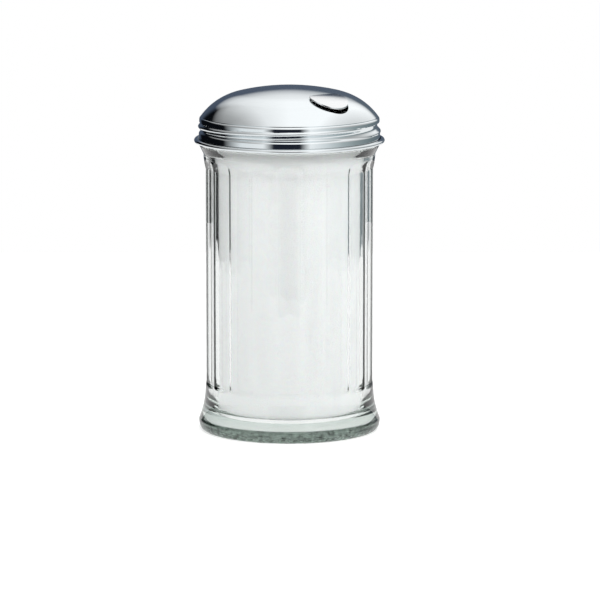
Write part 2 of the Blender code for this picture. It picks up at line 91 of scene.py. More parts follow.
SHOULDER_OFFSET = BEAD_RADIUS - SHOULDER_REACH
CROWN_Z = TOP_Z - CROWN_RADIUS
SHOULDER_Z = CROWN_Z + math.sqrt((CROWN_RADIUS - SHOULDER_RADIUS) ** 2 - SHOULDER_OFFSET**2)
CROWN_EDGE = CROWN_RADIUS * SHOULDER_OFFSET / (CROWN_RADIUS - SHOULDER_RADIUS)
FILLET_RUN = SHOULDER_REACH - BEAD_FILLET
BEAD_Z = SHOULDER_Z + math.sqrt((SHOULDER_RADIUS - BEAD_FILLET) ** 2 - FILLET_RUN**2)

# Screw thread, rolled into the skirt and pressed into the glass
THREAD_PITCH = 4.0 * MM
THREAD_DROP = 0.85 * MM  # from the bead's crest to the thread's start
THREAD_Z = BEAD_Z - THREAD_DROP
THREAD_RISE = 1.4 * MM
THREAD_HALF_WIDTH = 2.0 * MM
THREAD_TURNS = 1.2
THREAD_FADE_TURNS = 0.2
GLASS_THREAD_RISE = 1.1 * MM

# Jar
PANELS = 20
PANEL_RADIUS = 33.75 * MM
NECK_RELIEF = 1.15 * MM  # of the round blank over the panels, at the neck
FOOT_RELIEF = 0.65 * MM  # the same at the panels' feet
PANEL_SLOPE_SHARE = 1.5  # of the relief, that a panel's end slopes out by
PANEL_SLOPE_POWER = 1.2
PANEL_RUN_OUT = 4.0 * MM  # height over which a panel's top slopes back out
PANEL_OVERSLOPE = 2.0 * MM  # how much further up that slope is carried
PANEL_FOOT_RUN_OUT = 2.2 * MM
PANEL_FOOT_Z = 19.8 * MM
PANEL_EDGE_POWER = 420  # the higher, the crisper the pressed edges between the panels
PANEL_BLEND = 0.05 * MM  # roundness where a panel meets the round blank
RIDGE_RISE = 0.2 * MM  # of the ridge that the mould leaves between two panels
RIDGE_HALF_WIDTH = 0.9 * MM
COLLAR_OVERHANG = 1.0 * MM  # of the collar over the lid's skirt radius
COLLAR_RADIUS = SKIRT_RADIUS + COLLAR_OVERHANG
COLLAR_Z = LID_LOW[2] - GAP
COLLAR_HEIGHT = 4.1 * MM
COLLAR_EDGE = 0.5 * MM
NECK_BAND = 5.95 * MM  # from the top of the panels to the top of the collar
PANEL_TOP_Z = COLLAR_Z - NECK_BAND
BLANK_NECK_RADIUS = PANEL_RADIUS + NECK_RELIEF
BLANK_FOOT_RADIUS = PANEL_RADIUS + FOOT_RELIEF
BASE_EDGE_HEIGHT = 4.0 * MM
BASE_EDGE_TUCK = 1.75 * MM
FLARE_HEIGHT = 13.5 * MM
FLARE_POWER = 2.0
BEARING_WIDTH = 8.0 * MM
PUSH_UP = 1.2 * MM
NECK_FILLET = 0.6 * MM
FINISH_RADIUS = SKIRT_RADIUS - SHEET - GAP - GLASS_THREAD_RISE
FINISH_WALL = 4.0 * MM  # of the threaded neck
MOUTH_RADIUS = FINISH_RADIUS - FINISH_WALL
LIP_RADIUS = 1.2 * MM  # at the mouth's inner edge
GLASS_WALL = 3.3 * MM  # at the middle of a panel
CAVITY_RADIUS = PANEL_RADIUS - GLASS_WALL
FLOOR_Z = 6.0 * MM
FLOOR_CORNER = 4.5 * MM
RIM_EDGE = 1.5 * MM
SUGAR_CROWN = 1.5 * MM  # how much higher the sugar stands at its middle

# The longest edges that the outlines are cut to
SKIRT_STEP = 0.16 * MM
SLOPE_STEP = 0.25 * MM
THREAD_STEP = 0.3 * MM
COLLAR_STEP = 0.5 * MM
SUGAR_NECK_STEP = 1.0 * MM
SUGAR_STEP = 4.0 * MM
WALL_STEP = 8.0 * MM

# Pouring hole and flap
FLAP_AZIMUTH = math.radians(-49.5)
HOLE_DISTANCE = 24.4 * MM
HOLE_HALF_WIDTH = 7.9 * MM
HOLE_REACH = 8.0 * MM
HOLE_BACK = 4.7 * MM  # from the hole's middle to its straight inner edge
HOLE_BACK_U = HOLE_DISTANCE - HOLE_BACK
LEAF_SHEET = 0.45 * MM
LEAF_HALF_WIDTH = 8.2 * MM
LEAF_REACH = 7.4 * MM
LEAF_BEND = 38.6 * MM  # radius of the leaf's curve
LEAF_BACK_LIFT = 0.12 * MM  # of the leaf's underside over the dome, at its inner edge
LEAF_TIP_LIFT = 1.3 * MM
LEAF_EDGE_WEAR = 0.07 * MM
LEAF_BACK_U = HOLE_BACK_U + GAP
LEAF_TIP_U = HOLE_DISTANCE + LEAF_REACH
PIN_SETBACK = 1.0 * MM  # from the leaf's inner edge in to the pin
PIN_U = LEAF_BACK_U - PIN_SETBACK
PIN_Z = (PIN_LOW[2] + PIN_HIGH[2]) / 2
BORE_RADIUS = 0.6 * MM
KNUCKLE_WALL = 0.4 * MM
KNUCKLE_RADIUS = BORE_RADIUS + KNUCKLE_WALL
NECK_HALF_WIDTH = 2.0 * MM
NECK_TAIL = 0.8 * MM  # how far the neck is drawn into the leaf
NECK_SKIN_SHARE = 0.2  # of the leaf's sheet, left over and under the neck at its root
ROLL_START = math.radians(80)  # the knuckle's roll, counted from the leaf's side
ROLL_END = math.radians(400)
EAR_WIDTH = 0.65 * MM  # of the bracket's ear with the end of the pin that stands out of it
SWING_ROOM = 0.12 * MM  # for the back of the neck, as the flap opens
NOTCH_RADIUS = KNUCKLE_RADIUS + GAP + SWING_ROOM
NOTCH_HALF_WIDTH = NECK_HALF_WIDTH + EAR_WIDTH + 2 * GAP
FLAP_TURN = Matrix.Rotation(FLAP_AZIMUTH, 4, "Z")
FLAP_PLANE = FLAP_TURN @ Matrix.Rotation(math.radians(90), 4, "X")


# Shapes shared by the pieces


def arc(centre, radii, start, end, steps):
    """Points of an oval's arc between two angles in radians, both ends included."""
    angles = [start + (end - start) * i / steps for i in range(steps + 1)]
    return [(centre[0] + radii[0] * math.cos(a), centre[1] + radii[1] * math.sin(a)) for a in angles]


def bump(offset, half_width):
    """1 at the middle of a rounded ridge, falling to 0 at its edges."""
    share = min(abs(offset) / half_width, 1.0)
    return math.cos(share * math.pi / 2) ** 2


def smooth(share):
    share = min(max(share, 0.0), 1.0)
    return share * share * (3 - 2 * share)


def soft_min(first, second, blend):
    """The smaller of two lengths, rounded where they cross."""
    low = min(first, second)
    return low - blend * math.log(math.exp((low - first) / blend) + math.exp((low - second) / blend))


def subdivided(points, longest):
    """The same outline with no stretch longer than a length."""
    out = [points[0]]
    for (r0, z0), (r1, z1) in zip(points, points[1:]):
        parts = max(1, math.ceil(math.hypot(r1 - r0, z1 - z0) / longest))
        out += [(r0 + (r1 - r0) * i / parts, z0 + (z1 - z0) * i / parts) for i in range(1, parts + 1)]
    return out


def thread_ridge(z, azimuth):
    """0 to 1: how far the thread stands out here. It is right-handed and falls from its start."""
    first_turn = 1 - (azimuth / FULL_TURN) % 1.0
    best = 0.0
    for lap in range(math.ceil(THREAD_TURNS)):
        turns = first_turn + lap
        strength = smooth(turns / THREAD_FADE_TURNS) * smooth((THREAD_TURNS - turns) / THREAD_FADE_TURNS)
        best = max(best, strength * bump(z - (THREAD_Z - THREAD_PITCH * turns), THREAD_HALF_WIDTH))
    return best


def turned(name, outline, azimuths, radius_at=None):
    """A surface round the axis. radius_at(index, radius, z, azimuth) may move a point in or out."""
    verts = []
    faces = []
    rows = []
    for index, (radius, z) in enumerate(outline):
        if radius < WELD:
            rows.append([len(verts)])
            verts.append((0, 0, z))
            continue
        rows.append(list(range(len(verts), len(verts) + len(azimuths))))
        for azimuth in azimuths:
            moved = radius_at(index, radius, z, azimuth) if radius_at else radius
            verts.append((moved * math.cos(azimuth), moved * math.sin(azimuth), z))
    count = len(azimuths)
    for upper, lower in zip(rows, rows[1:]):
        for i in range(count):
            j = (i + 1) % count
            corners = ((upper, i), (lower, i), (lower, j), (upper, j))
            ring = [row[step % len(row)] for row, step in corners]
            faces.append(list(dict.fromkeys(ring)))  # a face at a pole has three corners
    mesh = bpy.data.meshes.new(name)
    mesh.from_pydata(verts, [], faces)
    mesh.shade_smooth()
    return new_object(name, mesh)


def new_object(name, mesh):
    obj = bpy.data.objects.new(name, mesh)
    bpy.context.scene.collection.objects.link(obj)
    return obj


def even_azimuths(steps):
    return [FULL_TURN * i / steps for i in range(steps)]


def settled(obj, tools=(), sharp_degrees=None):
    """Applies the modifiers of an object and removes the tools that they used."""
    bpy.context.view_layer.update()
    evaluated = obj.evaluated_get(bpy.context.evaluated_depsgraph_get())
    mesh = bpy.data.meshes.new_from_object(evaluated)
    obj.modifiers.clear()
    obj.data = mesh
    mesh.shade_smooth()
    if sharp_degrees:
        mesh.set_sharp_from_angle(angle=math.radians(sharp_degrees))
    for tool in tools:
        bpy.data.objects.remove(tool)
    return obj


def plate(name, outlines, half_thickness, matrix):
    """A flat plate from closed outlines, the first its edge and any others its holes."""
    curve = bpy.data.curves.new(name, "CURVE")
    curve.dimensions = "2D"
    curve.fill_mode = "BOTH"
    curve.extrude = half_thickness
    for outline in outlines:
        spline = curve.splines.new("POLY")
        spline.points.add(len(outline) - 1)
        for point, (x, y) in zip(spline.points, outline):
            point.co = (x, y, 0, 1)
        spline.use_cyclic_u = True
    guide = new_object(name + "_guide", curve)
    bpy.context.view_layer.update()
    mesh = bpy.data.meshes.new_from_object(guide.evaluated_get(bpy.context.evaluated_depsgraph_get()))
    bm = bmesh.new()
    bm.from_mesh(mesh)
    bmesh.ops.remove_doubles(bm, verts=bm.verts, dist=WELD)
    bmesh.ops.recalc_face_normals(bm, faces=bm.faces)
    bm.to_mesh(mesh)
    bm.free()
    mesh.transform(matrix)
    bpy.data.objects.remove(guide)
    return new_object(name, mesh)


def combine(obj, other, operation):
    step = obj.modifiers.new(other.name, "BOOLEAN")
    step.operation = operation
    step.solver = "EXACT"
    step.object = other


# Materials


def linear(code):
    """A linear colour from an sRGB hex code."""
    values = [int(code[i : i + 2], 16) / 255 for i in (1, 3, 5)]
    return [v / 12.92 if v <= 0.04045 else ((v + 0.055) / 1.055) ** 2.4 for v in values] + [1.0]


def add_node(tree, kind, settings=None, **links):
    """Adds a node, sets its properties and inputs, and links inputs.

    A key such as _2 is the input of that number. In the name of a link, underscores stand for spaces.
    """
    node = tree.nodes.new(kind)
    for name, value in (settings or {}).items():
        if hasattr(node, name):
            setattr(node, name, value)
        else:
            key = int(name[1:]) if name[0] == "_" and name[1:].isdigit() else name
            node.inputs[key].default_value = value
    for name, source in links.items():
        key = int(name[1:]) if name[0] == "_" and name[1:].isdigit() else name.replace("_", " ")
        tree.links.new(source, node.inputs[key])
    return node


def new_material(name):
    made = bpy.data.materials.new(name)
    made.use_nodes = True
    made.node_tree.nodes.clear()
    return made, made.node_tree


def finish_material(tree, settings, **links):
    """Adds the Principled shader with its constants and joins it to the output."""
    shader = add_node(tree, "ShaderNodeBsdfPrincipled", settings, **links)
    output = add_node(tree, "ShaderNodeOutputMaterial")
    tree.links.new(shader.outputs["BSDF"], output.inputs["Surface"])
    return output


def spun_stainless(name, colour, roughness, anisotropy, line_mm, line_strength):
    """Stainless steel turned on a lathe: fine grooves round the axis smear reflections along its height."""
    made, tree = new_material(name)
    place = add_node(tree, "ShaderNodeTexCoord").outputs["Object"]
    # Only the distance from the axis and the height count, so the noise draws grooves round the axis.
    # Real grooves are finer: these are as coarse as they need to show
    height = add_node(tree, "ShaderNodeSeparateXYZ", Vector=place)
    flat = add_node(tree, "ShaderNodeVectorMath", {"operation": "MULTIPLY", "_1": (1, 1, 0)}, _0=place)
    radius = add_node(tree, "ShaderNodeVectorMath", {"operation": "LENGTH"}, _0=flat.outputs[0])
    around = add_node(tree, "ShaderNodeCombineXYZ", X=radius.outputs["Value"], Z=height.outputs["Z"])
    grooves = add_node(
        tree, "ShaderNodeTexNoise", {"Scale": 1 / (line_mm * MM), "Detail": 3.0}, Vector=around.outputs[0]
    )
    cloud = add_node(tree, "ShaderNodeTexNoise", {"Scale": 1 / (9 * MM), "Detail": 2.0}, Vector=place)
    rough = add_node(
        tree,
        "ShaderNodeMapRange",
        {"To Min": roughness * 0.85, "To Max": roughness * 1.15},
        Value=cloud.outputs["Fac"],
    )
    pale = linear(colour)
    tint = add_node(
        tree,
        "ShaderNodeMix",
        {"data_type": "RGBA", "_6": [c * 0.93 for c in pale[:3]] + [1.0], "_7": pale},
        _0=grooves.outputs["Fac"],
    )
    relief = add_node(
        tree,
        "ShaderNodeBump",
        {"Strength": line_strength, "Distance": 0.01 * MM},
        Height=grooves.outputs["Fac"],
    )
    around_axis = add_node(tree, "ShaderNodeTangent", {"direction_type": "RADIAL", "axis": "Z"})
    finish_material(
        tree,
        {"Metallic": 1.0, "Anisotropic": anisotropy, "Anisotropic Rotation": 0.25},
        Base_Color=tint.outputs[2],
        Roughness=rough.outputs[0],
        Normal=relief.outputs[0],
        Tangent=around_axis.outputs[0],
    )
    return made


def plain_steel(name, colour, roughness):
    """Stainless sheet left as rolled, without a polish: its reflections are soft and slightly cloudy."""
    made, tree = new_material(name)
    place = add_node(tree, "ShaderNodeTexCoord").outputs["Object"]
    cloud = add_node(tree, "ShaderNodeTexNoise", {"Scale": 1 / (1.5 * MM), "Detail": 4.0}, Vector=place)
    rough = add_node(
        tree,
        "ShaderNodeMapRange",
        {"To Min": roughness * 0.85, "To Max": roughness * 1.2},
        Value=cloud.outputs["Fac"],
    )
    pale = linear(colour)
    tint = add_node(
        tree,
        "ShaderNodeMix",
        {"data_type": "RGBA", "_6": [c * 0.9 for c in pale[:3]] + [1.0], "_7": pale},
        _0=cloud.outputs["Fac"],
    )
    finish_material(tree, {"Metallic": 1.0}, Base_Color=tint.outputs[2], Roughness=rough.outputs[0])
    return made


def foot_masks(tree, place):
    """Two masks of the jar's foot: its stippled bearing edge, and its rounded heel, where shade is painted.
    """
    inner_radius = BASE_RADIUS - 3.6 * MM
    stipple_top = 2.4 * MM
    fade = 1.0 * MM
    heel_top = BASE_EDGE_HEIGHT + 1.3 * MM
    heel_fade = 0.4 * MM
    height = add_node(tree, "ShaderNodeSeparateXYZ", Vector=place)
    out = add_node(tree, "ShaderNodeVectorMath", {"operation": "LENGTH"}, _0=place)
    rounded = add_node(
        tree,
        "ShaderNodeMapRange",
        {"From Min": inner_radius, "From Max": inner_radius + fade},
        Value=out.outputs["Value"],
    )
    bearing = add_node(
        tree,
        "ShaderNodeMapRange",
        {"From Min": stipple_top, "From Max": stipple_top - fade},
        Value=height.outputs["Z"],
    )
    low = add_node(
        tree,
        "ShaderNodeMapRange",
        {"From Min": heel_top, "From Max": heel_top - heel_fade},
        Value=height.outputs["Z"],
    )
    stippled = add_node(
        tree, "ShaderNodeMath", {"operation": "MULTIPLY"}, _0=rounded.outputs[0], _1=bearing.outputs[0]
    )
    # The heel's mask, where dark shade is painted into the glass's colour
    heel = add_node(
        tree, "ShaderNodeMath", {"operation": "MULTIPLY"}, _0=rounded.outputs[0], _1=low.outputs[0]
    )
    return stippled.outputs[0], heel.outputs[0]


def pressed_glass():
    """Soda-lime glass pressed in an iron mould: clear with a faint green, and very slightly wavy."""
    made, tree = new_material("pressed_soda_lime_glass")
    place = add_node(tree, "ShaderNodeTexCoord").outputs["Object"]
    stippled, heel = foot_masks(tree, place)
    # The mould stipples the bearing ring about every millimetre, which scatters what shows through it
    stipple = add_node(tree, "ShaderNodeTexVoronoi", {"Scale": 1 / (1.3 * MM)}, Vector=place)
    dots = add_node(
        tree, "ShaderNodeMath", {"operation": "MULTIPLY"}, _0=stipple.outputs["Distance"], _1=stippled
    )
    waves = add_node(tree, "ShaderNodeTexNoise", {"Scale": 1 / (7 * MM), "Detail": 1.0}, Vector=place)
    soft_waves = add_node(
        tree, "ShaderNodeBump", {"Strength": 0.25, "Distance": 0.12 * MM}, Height=waves.outputs["Fac"]
    )
    relief = add_node(
        tree,
        "ShaderNodeBump",
        {"Strength": 0.8, "Distance": 0.5 * MM},
        Height=dots.outputs[0],
        Normal=soft_waves.outputs[0],
    )
    # Painted shade: the rounded heel is tinted dark in marbled streaks for the shadowed floor seen through
    # it, and it gathers the green of the whole base
    streaks = add_node(tree, "ShaderNodeTexNoise", {"Scale": 1 / (1.7 * MM), "Detail": 4.0}, Vector=place)
    contrast = add_node(
        tree, "ShaderNodeMapRange", {"From Min": 0.34, "From Max": 0.7}, Value=streaks.outputs["Fac"]
    )
    marbled_shade = add_node(
        tree,
        "ShaderNodeMix",
        {"data_type": "RGBA", "_6": linear("#0A0F0C"), "_7": linear("#617369")},
        _0=contrast.outputs[0],
    )
    tint = add_node(
        tree, "ShaderNodeMix", {"data_type": "RGBA", "_6": linear("#FEFFFF")}, _0=heel, _7=marbled_shade.outputs[2]
    )
    output = finish_material(
        tree,
        {"IOR": 1.52, "Transmission Weight": 1.0, "Roughness": 0.0},
        Base_Color=tint.outputs[2],
        Normal=relief.outputs[0],
    )
    depth = add_node(tree, "ShaderNodeVolumeAbsorption", {"Color": linear("#CFE8DA"), "Density": 9.0})
    tree.links.new(depth.outputs[0], output.inputs["Volume"])
    return made


def granulated_sugar():
    """White granulated sugar: matt, with half-millimetre crystals that show as a fine sparkle."""
    made, tree = new_material("granulated_sugar")
    place = add_node(tree, "ShaderNodeTexCoord").outputs["Object"]
    grains = add_node(tree, "ShaderNodeTexVoronoi", {"Scale": 1 / (0.55 * MM)}, Vector=place)
    clumps = add_node(tree, "ShaderNodeTexNoise", {"Scale": 1 / (6 * MM), "Detail": 3.0}, Vector=place)
    tint = add_node(
        tree,
        "ShaderNodeMix",
        {"data_type": "RGBA", "_6": linear("#FAFAFA"), "_7": linear("#FFFFFF")},
        _0=clumps.outputs["Fac"],
    )
    speck = add_node(
        tree,
        "ShaderNodeMix",
        {"data_type": "RGBA", "blend_type": "MULTIPLY", "_0": 0.06},
        _6=tint.outputs[2],
        _7=grains.outputs["Color"],
    )
    relief = add_node(
        tree, "ShaderNodeBump", {"Strength": 0.35, "Distance": 0.25 * MM}, Height=grains.outputs["Distance"]
    )
    finish_material(
        tree,
        {"Roughness": 0.85, "IOR": 1.54},
        Base_Color=speck.outputs[2],
        Normal=relief.outputs[0],
    )
    return made


def dress(obj, material, body, slot, *nodes):
    if material.name not in obj.data.materials:
        obj.data.materials.append(material)
    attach(obj, body)
    if nodes:
        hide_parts(*nodes)


# Jar and sugar


def panel_limit(z, azimuth):
    """Radius of the flat panels here: closest at a panel's middle, sloping out past its two ends."""
    half = math.pi / PANELS
    # One panel faces the camera, so the panels' middles are at -90 degrees and every step from there
    offset = (azimuth + math.pi / 2 + half) % (2 * half) - half
    near = math.cos(offset) ** PANEL_EDGE_POWER
    next_one = math.cos(2 * half - abs(offset)) ** PANEL_EDGE_POWER
    shape = 1 / (near + next_one) ** (1 / PANEL_EDGE_POWER)
    ridge = RIDGE_RISE * bump((half - abs(offset)) * PANEL_RADIUS, RIDGE_HALF_WIDTH)
    over = max(z - (PANEL_TOP_Z - PANEL_RUN_OUT), 0.0) / (PANEL_RUN_OUT + PANEL_OVERSLOPE)
    under = max(PANEL_FOOT_Z - z, 0.0) / PANEL_FOOT_RUN_OUT
    slope = PANEL_SLOPE_SHARE * max(
        NECK_RELIEF * over**PANEL_SLOPE_POWER, FOOT_RELIEF * under**PANEL_SLOPE_POWER
    )
    return PANEL_RADIUS * shape + ridge + slope


def neck_wall(low_radius, high_radius):
    """Eases the hollow's wall in from the panels to the mouth, over the height of the collar."""
    steps = 6
    drop = low_radius - high_radius
    low_z = COLLAR_Z - COLLAR_HEIGHT
    return [
        (low_radius - drop * smooth(i / steps), low_z + COLLAR_HEIGHT * i / steps)
        for i in range(1, steps + 1)
    ]


def jar_profile():
    """From the middle of the hollow's floor, up the inside, over the rim and down to the underside."""
    quarter = math.pi / 2
    floor_centre = (CAVITY_RADIUS - FLOOR_CORNER, FLOOR_Z + FLOOR_CORNER)
    inside = [(0, FLOOR_Z), (CAVITY_RADIUS * 0.4, FLOOR_Z)]
    inside += arc(floor_centre, (FLOOR_CORNER, FLOOR_CORNER), -quarter, 0, 10)
    neck_z = COLLAR_Z - COLLAR_HEIGHT
    inside += [(CAVITY_RADIUS, neck_z)] + neck_wall(CAVITY_RADIUS, MOUTH_RADIUS)
    lip_centre = (MOUTH_RADIUS + LIP_RADIUS, RIM_Z - LIP_RADIUS)
    inside += arc(lip_centre, (LIP_RADIUS, LIP_RADIUS), math.pi, quarter, 6)
    outside = arc((FINISH_RADIUS - RIM_EDGE, RIM_Z - RIM_EDGE), (RIM_EDGE, RIM_EDGE), quarter, 0, 6)
    fillet_z = COLLAR_Z + NECK_FILLET
    fillet = (NECK_FILLET, NECK_FILLET)
    neck = subdivided([outside[-1], (FINISH_RADIUS, fillet_z)], THREAD_STEP)[1:]
    neck += arc((FINISH_RADIUS + NECK_FILLET, fillet_z), fillet, math.pi, 3 * quarter, 4)[1:]
    edge_centre = (COLLAR_RADIUS - COLLAR_EDGE, COLLAR_Z - COLLAR_EDGE)
    collar = arc(edge_centre, (COLLAR_EDGE, COLLAR_EDGE), quarter, 0, 5)
    collar += subdivided([collar[-1], (BLANK_NECK_RADIUS, neck_z)], COLLAR_STEP)[1:]
    flare_top = BASE_EDGE_HEIGHT + FLARE_HEIGHT

    def blank(z):
        share = (z - flare_top) / (neck_z - flare_top)
        return BLANK_FOOT_RADIUS + (BLANK_NECK_RADIUS - BLANK_FOOT_RADIUS) * share, z

    slope_foot = blank(PANEL_TOP_Z - PANEL_RUN_OUT - MM)
    panel_foot = blank(PANEL_FOOT_Z + MM)
    wall = subdivided([collar[-1], slope_foot], SLOPE_STEP)[1:]
    wall += subdivided([slope_foot, panel_foot], WALL_STEP)[1:]
    wall += subdivided([panel_foot, blank(flare_top)], SLOPE_STEP)[1:]
    steps = 30
    flare = []
    for i in range(1, steps + 1):
        share = 1 - i / steps
        radius = BLANK_FOOT_RADIUS + (BASE_RADIUS - BLANK_FOOT_RADIUS) * (1 - share) ** FLARE_POWER
        flare.append((radius, BASE_EDGE_HEIGHT + FLARE_HEIGHT * share))
    foot_centre = (BASE_RADIUS - BASE_EDGE_TUCK, BASE_EDGE_HEIGHT)
    foot = arc(foot_centre, (BASE_EDGE_TUCK, BASE_EDGE_HEIGHT), 0, -quarter, 10)[1:]
    bearing = foot_centre[0] - BEARING_WIDTH
    base = [
        (bearing, 0),
        (bearing - PUSH_UP / 2, PUSH_UP * 0.4),
        (bearing - 2 * PUSH_UP, PUSH_UP),
        (0, PUSH_UP),
    ]
    return inside, inside + outside + neck + collar + wall + flare + foot + base


def make_jar():
    inside, outline = jar_profile()
    inside_count = len(inside)
    # Close together at the panels' edges, where the surface turns
    near = (0.2, 0.55, 0.74, 0.82, 0.86, 0.89, 0.92, 0.95, 0.975)
    shares = [-1.0] + [-share for share in reversed(near)] + list(near)
    half = math.pi / PANELS
    azimuths = []
    for panel in range(PANELS):
        middle = 2 * half * panel - math.pi / 2
        azimuths += [middle + half * share for share in shares]

    def radius_at(index, radius, z, azimuth):
        if index < inside_count:
            return radius
        if z > COLLAR_Z + WELD:
            return radius + GLASS_THREAD_RISE * thread_ridge(z, azimuth) * (radius > FINISH_RADIUS - WELD)
        if z > COLLAR_Z - COLLAR_HEIGHT + WELD or z < BASE_EDGE_HEIGHT:
            return radius
        return soft_min(radius, panel_limit(z, azimuth), PANEL_BLEND)

    return turned("jar_glass", outline, azimuths, radius_at)


def make_sugar():
    """The heap of sugar: it lies on the glass floor and keeps a little clear of the walls."""
    radius = SUGAR_HIGH[0]
    mouth = MOUTH_RADIUS - GAP
    corner = FLOOR_CORNER - GAP
    low = FLOOR_Z - 5 * WELD  # with no air between, the thick base shows the sugar's white
    top = SUGAR_HIGH[2]
    neck_z = COLLAR_Z - COLLAR_HEIGHT
    outline = [(0, low), (radius * 0.5, low)]
    outline += arc((radius - corner, low + corner), (corner, corner), -math.pi / 2, 0, 10)
    outline += subdivided([(radius, low + corner), (radius, neck_z)], SUGAR_STEP)[1:]
    outline += neck_wall(radius, mouth)
    outline += subdivided([(mouth, COLLAR_Z), (mouth, top - SUGAR_CROWN)], SUGAR_NECK_STEP)[1:]
    steps = 24
    for i in range(1, steps + 1):
        share = 1 - i / steps
        outline.append((mouth * share, top - SUGAR_CROWN * smooth(share)))
    return turned("sugar", outline, even_azimuths(160))


# Lid


def dome_z(radius):
    if radius <= CROWN_EDGE:
        return CROWN_Z + math.sqrt(CROWN_RADIUS**2 - radius**2)
    return SHOULDER_Z + math.sqrt(SHOULDER_RADIUS**2 - (radius - SHOULDER_OFFSET) ** 2)


def skirt_radius(z, azimuth):
    band = BAND_RISE * smooth((BAND_Z + BAND_STEP - z) / BAND_STEP)
    bead = BEAD_RISE * bump(max(BEAD_Z - BEAD_FACE - z, 0.0), BEAD_FALL - BEAD_FACE)
    return SKIRT_RADIUS + max(band, bead, THREAD_RISE * thread_ridge(z, azimuth))


def lid_profile():
    crown = [(CROWN_EDGE * i / 16, dome_z(CROWN_EDGE * i / 16)) for i in range(16)]
    centre = (SHOULDER_OFFSET, SHOULDER_Z)
    top = math.acos(SHOULDER_OFFSET / (CROWN_RADIUS - SHOULDER_RADIUS))
    edge = math.atan2(BEAD_Z - SHOULDER_Z, FILLET_RUN) + BEAD_CREASE
    shoulder = arc(centre, (SHOULDER_RADIUS, SHOULDER_RADIUS), top, edge, 26)
    fillet = arc((BEAD_RADIUS - BEAD_ROLL, BEAD_Z), (BEAD_ROLL, BEAD_ROLL), BEAD_START, 0, 8)
    skirt_from = len(crown) + len(shoulder) + len(fillet)
    skirt = subdivided([(SKIRT_RADIUS, BEAD_Z), (SKIRT_RADIUS, SKIRT_FOOT_Z)], SKIRT_STEP)[1:]
    skirt_to = skirt_from + len(skirt)
    roll = (CURL_REACH - SHEET, CURL_RISE - SHEET)
    end = FULL_TURN + math.acos((SKIRT_FOOT_RADIUS + GAP - CURL_CENTRE) / CURL_REACH)
    curl = arc((CURL_CENTRE, CURL_Z), roll, math.pi, end, 26)
    return crown + shoulder + fillet + skirt + curl, skirt_from, skirt_to


def hole_outline(half_width, reach, back_u, steps):
    """Plan of the hole or the leaf: an oval whose inner end is cut off straight."""
    back_angle = math.acos((back_u - HOLE_DISTANCE) / reach)
    return arc((HOLE_DISTANCE, 0), (reach, half_width), -back_angle, back_angle, steps)


def upright(name, outline, low_z, high_z):
    middle = Matrix.Translation((0, 0, (low_z + high_z) / 2))
    return plate(name, [outline], (high_z - low_z) / 2, middle @ FLAP_TURN)


def ring(radius, steps):
    return arc((PIN_U, PIN_Z), (radius, radius), 0, FULL_TURN, steps)[:-1]


def make_lid(outside, inside):
    outline, skirt_from, skirt_to = lid_profile()

    def radius_at(index, radius, z, azimuth):
        return skirt_radius(z, azimuth) if skirt_from <= index < skirt_to else radius

    lid = turned("lid", outline, even_azimuths(216), radius_at)
    lid.data.materials.append(outside)
    lid.data.materials.append(inside)
    solid = lid.modifiers.new("sheet", "SOLIDIFY")
    solid.thickness = SHEET
    solid.offset = -1
    solid.use_even_offset = True
    solid.material_offset = 1  # the inside has the second material
    opening = hole_outline(HOLE_HALF_WIDTH, HOLE_REACH, HOLE_BACK_U, 64)
    hole = upright("hole_tool", opening, SKIRT_FOOT_Z, TOP_Z + OVERRUN)
    notch = plate("notch_tool", [ring(NOTCH_RADIUS, 32)], NOTCH_HALF_WIDTH, FLAP_PLANE)
    combine(lid, hole, "DIFFERENCE")
    combine(lid, notch, "DIFFERENCE")
    settled(lid, (hole, notch), SHARP_DEGREES)
    for face in lid.data.polygons:
        if face.center.z < SKIRT_FOOT_Z:
            face.material_index = 0  # the curl shows the outside of the sheet
    return lid


def leaf_curve():
    back = Vector((LEAF_BACK_U, dome_z(LEAF_BACK_U) + LEAF_BACK_LIFT))
    tip = Vector((LEAF_TIP_U, dome_z(LEAF_TIP_U) + LEAF_TIP_LIFT))
    half_chord = (tip - back) / 2
    depth = math.sqrt(LEAF_BEND**2 - half_chord.length_squared)
    return back + half_chord + Vector((half_chord.y, -half_chord.x)).normalized() * depth


def leaf_z(u, lift):
    centre = leaf_curve()
    return centre.y + math.sqrt((LEAF_BEND + lift) ** 2 - (u - centre.x) ** 2)


